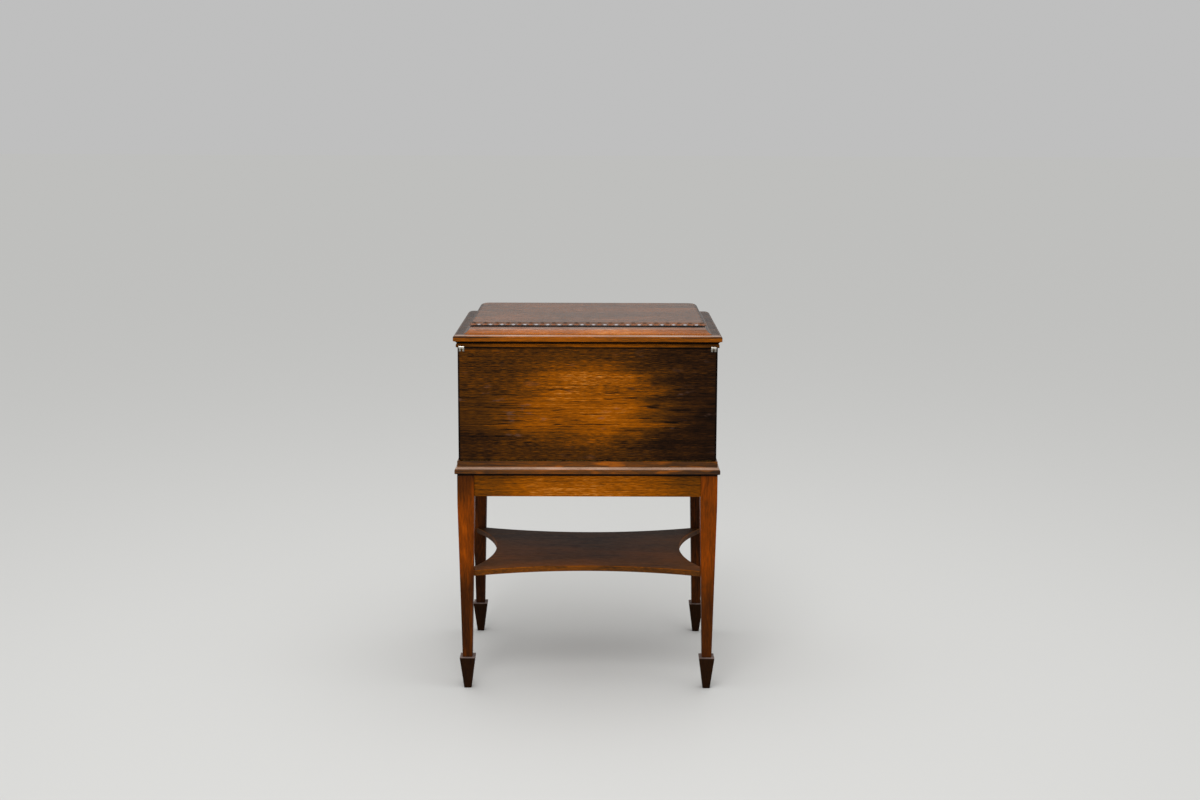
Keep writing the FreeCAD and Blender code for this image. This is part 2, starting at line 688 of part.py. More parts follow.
# Drawers: each a front with a small chamfer, two sides, a back, a bottom between them and two turned knobs.
def knob(label, x, z):
    piece = body(label)
    profile = sketch_on(piece, "XY_Plane")
    outline(
        profile,
        [
            ("0", "-knob_length"),
            ("knob_radius", "-knob_length"),
            ("knob_radius", "knob_rim - knob_length"),
            ("knob_neck_radius", "-knob_neck_length"),
            ("knob_neck_radius", "0"),
            ("0", "0"),
        ],
    )
    turned = piece.newObject("PartDesign::Revolution", "turned")
    turned.Profile = profile
    turned.ReferenceAxis = (next(axis for axis in piece.Origin.OriginFeatures if axis.Role == "Y_Axis"), [""])
    turned.Angle = 360
    profile.Visibility = False
    piece.Tip = turned
    place(piece, x, DRAWER_FACE, z)
    return piece


DRAWER_X = f"({CASE_INNER_X} - drawer_clearance)"
DRAWER_INNER_X = f"({DRAWER_X} - drawer_wall)"
DRAWER_INNER = f"({DRAWER_FACE} + drawer_front_thick)"
DRAWER_END = f"({CASE_INNER_BACK} - drawer_back_gap)"
DRAWER_INNER_END = f"({DRAWER_END} - drawer_wall)"
for name, floor in (("lower", CASE_FLOOR), ("upper", UPPER_FLOOR)):
    top = f"({floor} + drawer_opening - drawer_clearance)"
    heights = (floor, top)
    front = board(f"drawer_{name}_front_blank", (f"-{DRAWER_X}", DRAWER_X), (DRAWER_FACE, DRAWER_INNER),
                  heights)
    doc.recompute()
    edged = keep(doc.addObject("Part::Chamfer", f"drawer_{name}_front"))
    edged.Label = f"drawer_{name}_front"
    edged.Base = front
    face_edges = [index for index, edge in enumerate(front.Shape.Edges, start=1)
                  if edge.BoundBox.YMax - number(DRAWER_FACE) < number("drawer_front_thick / 2")]
    edged.Edges = [(index, number("drawer_chamfer"), number("drawer_chamfer")) for index in face_edges]
    run = (DRAWER_INNER, DRAWER_END)
    keep(board(f"drawer_{name}_left", (f"-{DRAWER_X}", f"-{DRAWER_INNER_X}"), run, heights))
    keep(board(f"drawer_{name}_right", (DRAWER_INNER_X, DRAWER_X), run, heights))
    inside = (f"-{DRAWER_INNER_X}", DRAWER_INNER_X)
    keep(board(f"drawer_{name}_back", inside, (DRAWER_INNER_END, DRAWER_END), heights))
    keep(board(f"drawer_{name}_bottom", inside, (DRAWER_INNER, DRAWER_INNER_END),
               (floor, f"{floor} + drawer_bottom_thick")))
    middle = f"({floor} + {top}) / 2"
    keep(group(f"drawer_{name}_knobs", knob(f"drawer_{name}_knob_left", "-knob_spacing / 2", middle),
               knob(f"drawer_{name}_knob_right", "knob_spacing / 2", middle)))

# Lid frame: three rails, mitred at the front, each with a bead at its foot and a hollow that reaches out over
# it under the moulded board. A plain rail closes the back between them.
bead_top = f"{LID_FOOT} + lid_bead_height"
RAIL_DEPTH = "(lid_hollow_reach + lid_rail_width)"
lid_section = [
    ("lid_hollow_reach", LID_FOOT),
    (RAIL_DEPTH, LID_FOOT),
    (RAIL_DEPTH, LID_BOARD_FOOT),
    ("0", LID_BOARD_FOOT),
    ("lid_hollow_reach + lid_bead_round", bead_top),
    ("lid_hollow_reach", f"{bead_top} - lid_bead_round"),
]
lid_bends = {3: ("hollow", "lid_hollow_round"), 4: ("round", "lid_bead_round")}
RAIL_X = f"({LID_X} - lid_bead_setback + lid_hollow_reach)"
RAIL_FRONT = f"({LID_FRONT} - lid_bead_setback + lid_hollow_reach)"
RAIL_SIDE_HALF = f"(({RAIL_FRONT} + {LID_BACK}) / 2)"
RAIL_SIDE_Y = f"(({LID_BACK} - {RAIL_FRONT}) / 2)"
keep(strip("lid_rail_front", lid_section, lid_bends, RAIL_X, RAIL_DEPTH, (-1, 1), 0, ("0", f"-{RAIL_FRONT}")))
keep(strip("lid_rail_left", lid_section, lid_bends, RAIL_SIDE_HALF, RAIL_DEPTH, (1,), -90,
           (f"-{RAIL_X}", RAIL_SIDE_Y)))
keep(strip("lid_rail_right", lid_section, lid_bends, RAIL_SIDE_HALF, RAIL_DEPTH, (-1,), 90,
           (RAIL_X, RAIL_SIDE_Y)))
RAIL_INNER_X = f"({RAIL_X} - {RAIL_DEPTH})"
BETWEEN_RAILS = (f"-{RAIL_INNER_X}", RAIL_INNER_X)
lid_back_rail = board("lid_rail_back_blank", BETWEEN_RAILS, (f"{LID_BACK} - lid_rail_width", LID_BACK),
                      (LID_FOOT, LID_BOARD_FOOT))
keep(cut("lid_rail_back", lid_back_rail, lid_hinges["lid_hinge_leaves"]))
keep(board("lid_lining", BETWEEN_RAILS, (f"{RAIL_DEPTH} - {RAIL_FRONT}", f"{LID_BACK} - lid_rail_width"),
           (f"{LID_BOARD_FOOT} - lining_thick", LID_BOARD_FOOT)))


# Moulded boards of the lid: the run of one edge along X and of the other along Y meet in mitres. An edge's
# section is given from its foot up, as insets and heights, and its last side is bent.
def moulded_runs(label, margin, section, bend):
    runs = []
    last = len(section) - 1
    edges = {
        "YZ_Plane": (f"({margin} - {LID_FRONT})", f"({LID_BACK} - {margin})", f"2 * ({LID_X} - {margin})"),
        "XZ_Plane": (f"({margin} - {LID_X})", f"({LID_X} - {margin})", f"2 * {LID_FRONT}"),
    }
    for plane, (low, high, length) in edges.items():
        run = body(f"{label}_{plane[0].lower()}_run")
        profile = sketch_on(run, plane)
        rising = [(f"{high} - {inset}", height) for inset, height in section]
        falling = [(f"{low} + {inset}", height) for inset, height in reversed(section)]
        outline(profile, [falling[-1], *rising, *falling[:-1]], {last: bend, last + 2: bend})
        pad(run, profile, length, both_ways=True)
        runs.append(run)
    return runs


ROUND_FOOT = f"({COVE_FOOT} - lid_round_height)"
lid_board_section = [("0", LID_BOARD_FOOT), ("0", ROUND_FOOT), ("lid_round_width", COVE_FOOT)]
lid_board_bend = ("round", hollow_radius("lid_round_width", "lid_round_height"))
keep(common("lid_board", *moulded_runs("lid_board", "0", lid_board_section, lid_board_bend)))
cove_section = [("0", COVE_FOOT), ("0", f"({COVE_FOOT} + cove_lip)"), ("cove_width", TOP_FOOT)]
cove_bend = ("hollow", "cove_round")
keep(common("coved_board", *moulded_runs("coved_board", "cove_margin", cove_section, cove_bend)))

# Raised top: it stands on a narrow quirk, and its rounded edge is carved into lobes along the front and both
# sides. Each valley between two lobes is cut along the slope of the edge; its two sides swell towards it, so
# that the lobes are left full.
TOP_MARGIN = "(cove_margin + cove_width - top_overhang)"
LIP_FOOT = f"({TOP_FOOT} + top_quirk_height)"
EDGE_DROP = "(top_thick - top_quirk_height - top_lip)"
top_section = [
    ("top_quirk_depth", TOP_FOOT),
    ("top_quirk_depth", LIP_FOOT),
    ("0", LIP_FOOT),
    ("0", f"({LIP_FOOT} + top_lip)"),
    ("top_round_width", TOP_FACE),
]
EDGE_RADIUS = f"({hollow_radius('top_round_width', EDGE_DROP)})"
front_run, side_run = moulded_runs("carved_top", TOP_MARGIN, top_section, ("round", EDGE_RADIUS))
SLOPE = f"atan({EDGE_DROP} / top_round_width)"
CENTRE_IN = f"({TOP_MARGIN} + top_round_width)"
VALLEY_RADIUS = f"({EDGE_RADIUS} - lobe_depth)"
VALLEY_IN = f"({CENTRE_IN} - {VALLEY_RADIUS} * sin({SLOPE}))"
VALLEY_Z = f"({TOP_FACE} - {EDGE_RADIUS} + {VALLEY_RADIUS} * cos({SLOPE}))"
LOBE_HALF = "((lobe_pitch - lobe_crown) / 2)"


def carve_lobes(run, plane, axis, outward, tilt, middle, half_run):
    """Cut the valleys of one edge, spread evenly about its middle."""
    valleys = int(number(f"2 * ({half_run} - top_round_width) / lobe_pitch")) + 1
    sketch = sketch_on(run, plane)
    lobe = ("hollow", hollow_radius(LOBE_HALF, "lobe_depth"))
    outline(
        sketch,
        [
            ("0", "0"),
            (LOBE_HALF, "lobe_depth"),
            (LOBE_HALF, "3 * lobe_depth"),
            (f"-{LOBE_HALF}", "3 * lobe_depth"),
            (f"-{LOBE_HALF}", "lobe_depth"),
        ],
        {0: lobe, 4: lobe},
    )
    tilted = FreeCAD.Rotation(FreeCAD.Vector(1, 0, 0), tilt * number(SLOPE))
    sketch.AttachmentOffset = FreeCAD.Placement(FreeCAD.Vector(), tilted)
    bind(sketch, "AttachmentOffset.Rotation.Angle", f"{tilt} * {SLOPE}")
    bind(sketch, "AttachmentOffset.Base.x", f"{middle} - lobe_pitch * {(valleys - 1) / 2}")
    bind(sketch, "AttachmentOffset.Base.y", VALLEY_Z)
    bind(sketch, "AttachmentOffset.Base.z", outward)
    valley = pocket_through(run, sketch)
    repeat(run, [valley], axis, "lobe_pitch", valleys)


TOP_X = f"({LID_X} - {TOP_MARGIN})"
TOP_FRONT = f"({LID_FRONT} - {TOP_MARGIN})"
TOP_BACK = f"({LID_BACK} - {TOP_MARGIN})"
carve_lobes(front_run, "XZ_Plane", "X_Axis", f"{LID_FRONT} - {VALLEY_IN}", 1, "0", TOP_X)
TOP_MIDDLE_Y = f"(({TOP_BACK} - {TOP_FRONT}) / 2)"
TOP_HALF_Y = f"(({TOP_BACK} + {TOP_FRONT}) / 2)"
for sign in (1, -1):
    valley_x = f"{sign} * ({LID_X} - {VALLEY_IN})"
    carve_lobes(side_run, "YZ_Plane", "Y_Axis", valley_x, sign, TOP_MIDDLE_Y, TOP_HALF_Y)
keep(common("carved_top", front_run, side_run))

doc.recompute()

failed = [thing.Label for thing in doc.Objects if {"Invalid", "Error"} & set(thing.State)]
for piece in SUB_PARTS:
    if piece.Shape.isNull() or not piece.Shape.isValid() or not piece.Shape.Solids:
        failed.append(piece.Label)
if failed:
    raise RuntimeError("not built: " + ", ".join(failed))

os.makedirs("parts", exist_ok=True)
for piece in SUB_PARTS:
    piece.Shape.exportStep(f"parts/{piece.Label}.step")
    extent = piece.Shape.BoundBox
    print(f"{piece.Label}: {len(piece.Shape.Solids)} solids, {piece.Shape.Volume:.0f} mm3, "
          f"x {extent.XMin:.1f} {extent.XMax:.1f}, y {extent.YMin:.1f} {extent.YMax:.1f}, "
          f"z {extent.ZMin:.1f} {extent.ZMax:.1f}")
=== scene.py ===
import json
import math

import bmesh
import bpy
from mathutils import Euler, Matrix, Vector

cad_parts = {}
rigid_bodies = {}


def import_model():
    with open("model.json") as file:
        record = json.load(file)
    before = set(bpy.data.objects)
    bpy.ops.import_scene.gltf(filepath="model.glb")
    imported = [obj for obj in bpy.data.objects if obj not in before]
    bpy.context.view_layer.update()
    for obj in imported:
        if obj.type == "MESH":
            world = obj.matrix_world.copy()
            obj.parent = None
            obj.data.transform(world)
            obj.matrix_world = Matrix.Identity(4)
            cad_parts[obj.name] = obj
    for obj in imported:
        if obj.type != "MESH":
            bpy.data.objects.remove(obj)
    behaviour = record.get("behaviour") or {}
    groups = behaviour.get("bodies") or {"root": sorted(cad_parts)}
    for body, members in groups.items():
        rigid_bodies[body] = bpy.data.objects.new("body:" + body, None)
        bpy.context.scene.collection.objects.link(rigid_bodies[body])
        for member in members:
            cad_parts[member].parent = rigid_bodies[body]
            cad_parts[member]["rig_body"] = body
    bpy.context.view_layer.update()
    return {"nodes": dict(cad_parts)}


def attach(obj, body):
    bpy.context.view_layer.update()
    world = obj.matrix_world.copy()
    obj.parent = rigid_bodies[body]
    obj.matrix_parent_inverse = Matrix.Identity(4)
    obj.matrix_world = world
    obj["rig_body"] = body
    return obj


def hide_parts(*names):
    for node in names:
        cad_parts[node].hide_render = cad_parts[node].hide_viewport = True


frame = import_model()

# Legs: four square oak legs, tapered on all faces from the knee to the ankle, their arrises eased with a scraper.
# The stained and waxed oak is dark red-brown with fine lengthwise grain, lighter round the upper half of the front
# pair and darker towards the ends, and painted shade darkens it in the joint under the base moulding.
MM = 0.001
ARRIS = 0.9 * MM


def linear(hex_colour):
    """A hex sRGB colour as linear RGBA."""
    channels = [int(hex_colour[i:i + 2], 16) / 255 for i in (1, 3, 5)]
    return [c / 12.92 if c <= 0.04045 else ((c + 0.055) / 1.055) ** 2.4 for c in channels] + [1.0]


def add(tree, kind, inputs=(), **settings):
    """Add a node. Its inputs, in order or by name, take a node's first output, a socket or a value."""
    made = tree.nodes.new(kind)
    for name, value in settings.items():
        setattr(made, name, value)
    for socket, source in inputs.items() if isinstance(inputs, dict) else enumerate(inputs):
        if isinstance(source, bpy.types.Node):
            source = source.outputs[0]
        if isinstance(source, bpy.types.NodeSocket):
            tree.links.new(source, made.inputs[socket])
        else:
            made.inputs[socket].default_value = source
    return made


MATH, RANGE, SMOOTH = "ShaderNodeMath", "ShaderNodeMapRange", "SMOOTHSTEP"
OAK_TONES = ((0.0, "#0e0704"), (0.2, "#2b1708"), (0.4, "#553006"), (0.6, "#854500"), (0.8, "#aa5b00"),
             (1.0, "#cf8a3e"))
GRAIN_TURN = {"X": (0, 0, 0), "Y": (0, 0, -math.pi / 2), "Z": (0, math.pi / 2, 0)}
# What is drawn in the wood: its length with the grain and its width across it in mm, its detail and roughness, and
# the values of the noise between which it comes up. Oak's pores are about 0.3 mm wide and are drawn three times
# as wide, because they would vanish at a few metres.
OAK_PATTERNS = {
    "fibres": (170, 1.3, 3, 0.6, 0.3, 0.7),
    "pores": (17, 0.9, 2, 0.6, 0.36, 0.62),
    "hollows": (17, 0.9, 2, 0.6, 0.4, 0.65),
    "clouds": (190, 60, 2, 0.5, 0.3, 0.7),
    "dashes": (110, 4.4, 2, 0.55, 0.59, 0.65),
    "patches": (70, 11, 2, 0.5, 0.53, 0.66),
    "ripples": (90, 20, 3, 0.5, 0.25, 0.75),
    "smears": (44, 15, 3, 0.5, 0.62, 0.78),
    # the noise that breaks up the painted sheens
    "sheen_breakup": (60, 14, 3, 0.5, 0.3, 0.7),
}
# Where glows, lines and the belt end, as shares of their half sizes, and how strong things are inside and outside.
GLOW_FULL, GLOW_GONE, GLOW_RIPPLE = 0.4, 1.15, 0.13
FAR_AWAY = 100.0
LINE_FULL, LINE_GONE = 0.6, 1.4
BELT_GONE, DASHES_OUTSIDE = 1.6, 0.15
FLECKS_FROM, FLECKS_FULL, FLECKS_INSIDE = 0.7, 1.5, 0.6
SMEARS_INSIDE, SMEARS_OUTSIDE, SMEAR_COLOUR = 0.5, 0.1, "#6a5046"
SIDEWAYS_FROM, SIDEWAYS_FULL = 0.1, 0.6
FIGURE_IN_DARK = 0.4
PORE_ROUGHNESS = 0.14
FIBRE_RISE, BUMP, BUMP_HEIGHT = 0.4, 0.3, 0.15 * MM


def oak(name, grain, level, start, glows=(), lines=(), painted_sheen=(), fibre=0.07, speckle=0.1, cloud=0.06,
        patches=0.0, dashes=0.1, band=None, side_shade=0.0, tones=OAK_TONES, gloss=0.38, specular=0.03):
    """Stained oak: straight fibres, short pores, clouded stain and dark dashes of open grain, rubbed with wax.

    level is the place on the tones and start shifts the figure, in mm. A glow is how much the stain darkens away
    from it and its spots, each a centre and three half sizes in mm (0 for a direction that has no part in it).
    lines are places where the stain is darker or rubbed, and places with painted shade in hollows, quirks, gaps and
    joints: the axes that bound each, with a centre and a half width in mm, and the depth. The painted sheens are such
    places with a colour and its strength: pale painted highlights where light shines on the wax.
    band is the height and the half width of a belt of smoother wood, to which the dashes keep and where grey
    smears lie in the wax. The side shade is painted shade that darkens the faces that look sideways.
    """
    material = bpy.data.materials.new(name)
    material.use_nodes = True
    tree = material.node_tree
    shader = tree.nodes["Principled BSDF"]
    coordinates = add(tree, "ShaderNodeTexCoord").outputs
    place = coordinates["Object"]
    axes = add(tree, "ShaderNodeSeparateXYZ", (place,)).outputs
    along = add(tree, "ShaderNodeMapping", {"Vector": place, "Rotation": GRAIN_TURN[grain],
                                            "Location": [s * MM for s in start]})

    optional = {"patches": patches, "ripples": glows, "smears": band, "sheen_breakup": painted_sheen}
    drawn = {}
    for part, (length, width, detail, roughness, low, high) in OAK_PATTERNS.items():
        if optional.get(part, True):
            stretch = (1 / (length * MM), 1 / (width * MM), 1 / (width * MM))
            stretched = add(tree, "ShaderNodeVectorMath", (along, stretch), operation="MULTIPLY")
            noise = add(tree, "ShaderNodeTexNoise", {"Vector": stretched, "Scale": 1.0, "Detail": detail,
                                                     "Roughness": roughness})
            drawn[part] = add(tree, RANGE, (noise, low, high), interpolation_type=SMOOTH)

    def distance_from(axis, centre):
        offset = add(tree, MATH, (axes[axis], centre * MM), operation="SUBTRACT")
        return add(tree, MATH, (offset,), operation="ABSOLUTE")

    def inside(bounds):
        # 1 in the place, fading to 0 round its bounds
        share = 1.0
        for axis, (centre, half) in bounds.items():
            near = add(tree, RANGE, (distance_from(axis, centre), LINE_FULL * half * MM, LINE_GONE * half * MM, 1, 0),
                       interpolation_type=SMOOTH)
            share = add(tree, MATH, (share, near), operation="MULTIPLY")
        return share

    # the figure: what the patterns add to the stain and take from it
    dash = drawn["dashes"]
    flecks = add(tree, MATH, (drawn["pores"], -2 * speckle, speckle), operation="MULTIPLY_ADD")
    if band:
        away, belt = distance_from("Z", band[0]), band[1] * MM
        kept = add(tree, RANGE, (away, belt, BELT_GONE * belt, 1, DASHES_OUTSIDE), interpolation_type=SMOOTH)
        dash = add(tree, MATH, (dash, kept), operation="MULTIPLY")
        softer = add(tree, RANGE, (away, FLECKS_FROM * belt, FLECKS_FULL * belt, FLECKS_INSIDE, 1),
                     interpolation_type=SMOOTH)
        flecks = add(tree, MATH, (flecks, softer), operation="MULTIPLY")
    dash = add(tree, RANGE, (dash, 0, 1, 0, -dashes), interpolation_type=SMOOTH)
    figure = add(tree, MATH, (flecks, dash), operation="ADD")
    for part, swing in (("fibres", fibre), ("clouds", cloud)):
        either_way = add(tree, MATH, (drawn[part], 2 * swing, -swing), operation="MULTIPLY_ADD")
        figure = add(tree, MATH, (figure, either_way), operation="ADD")
    if patches:
        figure = add(tree, MATH, (drawn["patches"], patches, figure), operation="MULTIPLY_ADD")

    # the stain: darker away from the glows and in the lines, some of which are painted shade, and painted shade on the
    # faces that look sideways
    stain = level
    for depth, spots in glows:
        nearest = FAR_AWAY
        for centre, halves in spots:
            scale = [1 / (half * MM) if half else 0 for half in halves]
            shift = [-c * MM * s for c, s in zip(centre, scale)]
            spot = add(tree, "ShaderNodeMapping", {"Vector": place, "Location": shift, "Scale": scale})
            distance = add(tree, "ShaderNodeVectorMath", (spot,), operation="LENGTH").outputs["Value"]
            nearest = add(tree, MATH, (nearest, distance), operation="MINIMUM")
        ripple = add(tree, MATH, (drawn["ripples"], 2 * GLOW_RIPPLE, -GLOW_RIPPLE), operation="MULTIPLY_ADD")
        edge = add(tree, MATH, (nearest, ripple), operation="ADD")
        darker = add(tree, RANGE, (edge, GLOW_FULL, GLOW_GONE, 0, -depth), interpolation_type=SMOOTH)
        stain = add(tree, MATH, (stain, darker), operation="ADD")
    for bounds, depth in lines:
        darker = add(tree, MATH, (inside(bounds), depth), operation="MULTIPLY")
        stain = add(tree, MATH, (stain, darker), operation="SUBTRACT")
    # painted shade on the faces that look sideways
    if side_shade:
        facing = add(tree, "ShaderNodeSeparateXYZ", (coordinates["Normal"],)).outputs
        sideways = add(tree, MATH, (facing["X"],), operation="ABSOLUTE")
        darker = add(tree, RANGE, (sideways, SIDEWAYS_FROM, SIDEWAYS_FULL, 0, -side_shade), interpolation_type=SMOOTH)
        stain = add(tree, MATH, (stain, darker), operation="ADD")

    # the figure fades where the stain is dark
    seen = add(tree, MATH, (stain, (1 - FIGURE_IN_DARK) / level, FIGURE_IN_DARK), operation="MULTIPLY_ADD")
    colours = add(tree, "ShaderNodeValToRGB", (add(tree, MATH, (figure, seen, stain), operation="MULTIPLY_ADD"),))
    ramp = colours.color_ramp
    for position, tone in tones[1:-1]:
        ramp.elements.new(position).color = linear(tone)
    ramp.elements[0].color = linear(tones[0][1])
    ramp.elements[len(tones) - 1].color = linear(tones[-1][1])
    colour = colours.outputs[0]
    if band:
        kept = add(tree, RANGE, (away, belt, BELT_GONE * belt, SMEARS_INSIDE, SMEARS_OUTSIDE),
                   interpolation_type=SMOOTH)
        smears = add(tree, MATH, (drawn["smears"], kept), operation="MULTIPLY")
        colour = add(tree, "ShaderNodeMix", {"Factor": smears, "A": colour, "B": linear(SMEAR_COLOUR)},
                     data_type="RGBA").outputs["Result"]
    # painted highlights: pale sheens of light on the wax, broken up by noise
    for bounds, sheen_colour, strength in painted_sheen:
        sheen_breakup = add(tree, MATH, (drawn["sheen_breakup"], strength / 2, strength / 2), operation="MULTIPLY_ADD")
        uneven = add(tree, MATH, (inside(bounds), sheen_breakup), operation="MULTIPLY")
        colour = add(tree, "ShaderNodeMix", {"Factor": uneven, "A": colour, "B": linear(sheen_colour)},
                     data_type="RGBA").outputs["Result"]
    tree.links.new(colour, shader.inputs["Base Color"])

    # wax shines on the fibres, and the pores stay duller and lie a little deeper
    rough = add(tree, MATH, (drawn["pores"], PORE_ROUGHNESS, gloss), operation="MULTIPLY_ADD")
    tree.links.new(rough.outputs[0], shader.inputs["Roughness"])
    shader.inputs["Specular IOR Level"].default_value = specular
    raised = add(tree, MATH, (drawn["fibres"], FIBRE_RISE), operation="MULTIPLY")
    relief = add(tree, MATH, (raised, drawn["hollows"]), operation="SUBTRACT")
    bump = add(tree, "ShaderNodeBump", {"Height": relief, "Strength": BUMP, "Distance": BUMP_HEIGHT})
    tree.links.new(bump.outputs[0], shader.inputs["Normal"])
    return material


DOUBLES = 0.002 * MM
FLAT, SHARP, SMOOTHED = math.radians(0.5), math.radians(28), math.radians(32)


def eased(node, material, arris=ARRIS, segments=2, shaped=None):
    """A copy of a CAD piece, shaped where asked and its sharp edges taken off; it stands for the piece."""
    source = frame["nodes"][node]
    piece = bpy.data.objects.new(f"{node}_eased", source.data.copy())
    bpy.context.scene.collection.objects.link(piece)
    bpy.ops.object.select_all(action="DESELECT")
    bpy.context.view_layer.objects.active = piece
    piece.select_set(True)
    bpy.ops.object.mode_set(mode="EDIT")
    bpy.ops.mesh.select_all(action="SELECT")
    bpy.ops.mesh.remove_doubles(threshold=DOUBLES)
    bpy.ops.mesh.dissolve_limited(angle_limit=FLAT)
    bpy.ops.object.mode_set(mode="OBJECT")
    if shaped:
        shaped(piece)
    edge = piece.modifiers.new("arris", "BEVEL")
    edge.width = arris
    edge.segments = segments
    edge.limit_method = "ANGLE"
    edge.angle_limit = SHARP
    bpy.ops.object.modifier_apply(modifier=edge.name)
    bpy.ops.object.shade_smooth_by_angle(angle=SMOOTHED)
    flat = piece.modifiers.new("flat_faces", "WEIGHTED_NORMAL")
    flat.keep_sharp = True
    bpy.ops.object.modifier_apply(modifier=flat.name)
    piece.data.materials.clear()
    piece.data.materials.append(material)
    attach(piece, source["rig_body"])
    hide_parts(node)


LEG_TONES = ((0.0, "#0e0704"), (0.2, "#2d1608"), (0.4, "#572906"), (0.6, "#863c04"), (0.8, "#a85006"),
             (1.0, "#cf8a3e"))
# painted shade in the joint under the base moulding
LEG_JOINT_SHADE = ({"Z": (480.6, 1.5)}, 0.42)
for corner, level, start, patches, darker, glow_height, glow_half in (
        ("front_left", 0.53, (40, 0, 260), 0.14, 0.26, 352, 112),
        ("front_right", 0.55, (900, 31, 460), 0.08, 0.28, 372, 178),
        ("back_left", 0.24, (1500, 11, 330), 0.08, 0.04, 490, 380),
        ("back_right", 0.24, (2100, 57, 390), 0.08, 0.04, 490, 380)):
    upper_half = (((0, 0, glow_height), (0, 0, glow_half)),)
    leg_oak = oak(f"stained_oak_leg_{corner}", "Z", level, start, patches=patches, fibre=0.05, speckle=0.06,
                  dashes=0.06, tones=LEG_TONES, glows=((darker, upper_half),), lines=(LEG_JOINT_SHADE,))
    eased(f"leg_{corner}", leg_oak)

# Spade feet: four small oak blocks, each fixed under its leg and tapered to the sole.
# The oak is stained nearly black against scuffs, so its grain hardly shows, and a pale painted reflection lies on
# the ledge at the ankle.
# painted reflection of light on the ankle ledge
FOOT_LEDGE_SHEEN = ({"Z": (71.5, 0.8)}, "#7a6963", 1.0)
foot_oak = oak("blackened_oak_foot", "Z", 0.13, (70, 15, 120), speckle=0.03, cloud=0.03, fibre=0.03, dashes=0.05,
               painted_sheen=(FOOT_LEDGE_SHEEN,))
for corner in ("front_left", "front_right", "back_left", "back_right"):
    eased(f"spade_foot_{corner}", foot_oak)

# Stand rails: four oak rails under the box, tenoned into the legs, a little behind the legs' faces.
# The front one shows straight, close grain and is rubbed bright in the middle, and the others are darker. Painted
# shade darkens the front one's top, under the base moulding.
RAIL_MIDDLE = (((4, 0, 458), (205, 0, 0)),)
# painted shade under the base moulding
RAIL_JOINT_SHADE = ({"Z": (480.2, 1.6)}, 0.7)
front_rail_oak = oak("stained_oak_front_rail", "X", 0.71, (300, 120, 700), fibre=0.15, speckle=0.14,
                     glows=((0.28, RAIL_MIDDLE),), lines=(RAIL_JOINT_SHADE,))
eased("rail_front", front_rail_oak)
eased("rail_back", oak("stained_oak_rail", "X", 0.34, (800, 90, 500)))
side_rail_oak = oak("stained_oak_side_rail", "Y", 0.46, (600, 50, 300))
for side in ("left", "right"):
    eased(f"rail_{side}", side_rail_oak)

# Undershelf: one thin oak board with hollow edges all round, let into the inner corners of the legs.
# Its stained top is dull from wear and dust, painted shade darkens it from the front towards the back, under the box,
# and the arris is a little brighter.
# painted shade: the top darkens away from the front, towards the back under the box
SHELF_FRONT = (((0, -175, 254), (0, 300, 0)),)
SHELF_ARRIS = ({"Z": (259.2, 0.5)}, -0.2)
undershelf_oak = oak("stained_oak_undershelf", "X", 0.42, (120, 410, 30), speckle=0.06, gloss=0.5,
                     glows=((0.14, SHELF_FRONT),), lines=(SHELF_ARRIS,), specular=0.1)
eased("undershelf", undershelf_oak, arris=1.2 * MM)

# Base moulding: three mitred oak strips with a rounded nose round the foot of the box and a plain rail behind, glued
# and pinned to the stand's rails. The stain is rubbed through in streaks, a long pale painted highlight lies along
# the nose, and painted shade darkens the joint below it.
# painted highlight along the nose, and painted shade at the foot of the moulding
NOSE_SHEEN = ({"Z": (496.0, 2.1)}, "#b3927b", 0.95)
BASE_JOINT_SHADE = ({"Z": (483.6, 1.2)}, 0.45)
BASE_LEFT = (((-90, 0, 495), (330, 0, 0)),)
base_front_oak = oak("stained_oak_base_front", "X", 0.42, (500, 200, 900), patches=0.26, speckle=0.07, gloss=0.2,
                     specular=0.15, lines=(BASE_JOINT_SHADE,), painted_sheen=(NOSE_SHEEN,), glows=((0.14, BASE_LEFT),))
eased("base_moulding_front", base_front_oak)
base_side_oak = oak("stained_oak_base_side", "Y", 0.42, (250, 330, 900), gloss=0.2, specular=0.15,
                    lines=(BASE_JOINT_SHADE,), painted_sheen=(NOSE_SHEEN,))
for side in ("left", "right"):
    eased(f"base_moulding_{side}", base_side_oak)
eased("base_rail_back", oak("stained_oak_base_back", "X", 0.34, (750, 140, 640)))

# Box: two oak sides, a back between them, and inside a bottom and two shelves, glued and pinned.
# Sides and back are stained and rubbed in the middle as the front is. The boards inside are only waxed, which leaves
# them light, yellow-brown and silky.
SIDE_MIDDLE = (((0, 6, 640), (0, 170, 120)),)
BACK_MIDDLE = (((0, 0, 634), (260, 0, 150)),)
side_oak = oak("stained_oak_case_side", "Y", 0.6, (330, 70, 810), glows=((0.3, SIDE_MIDDLE),))
for side in ("left", "right"):
    eased(f"case_side_{side}", side_oak)
eased("case_back", oak("stained_oak_case_back", "X", 0.44, (410, 20, 70), glows=((0.16, BACK_MIDDLE),)))
WAXED_TONES = ((0.0, "#3a220f"), (0.25, "#694120"), (0.5, "#946335"), (0.75, "#b07c48"), (1.0, "#c99a66"))
waxed_oak = oak("waxed_oak_inside", "X", 0.6, (15, 640, 220), tones=WAXED_TONES, gloss=0.5)
for board in ("case_bottom", "drawer_shelf", "tray_shelf"):
    eased(board, waxed_oak)

# Drawers: two shallow drawers of waxed oak behind the front, each a chamfered front, sides, back and a thin bottom,
# with painted shade along the fronts' top and bottom edges, where the gaps are. Two turned brass knobs are screwed to
# each front: warm yellow, with a soft shine and small dull spots of tarnish.
THIN_ARRIS = 0.6 * MM
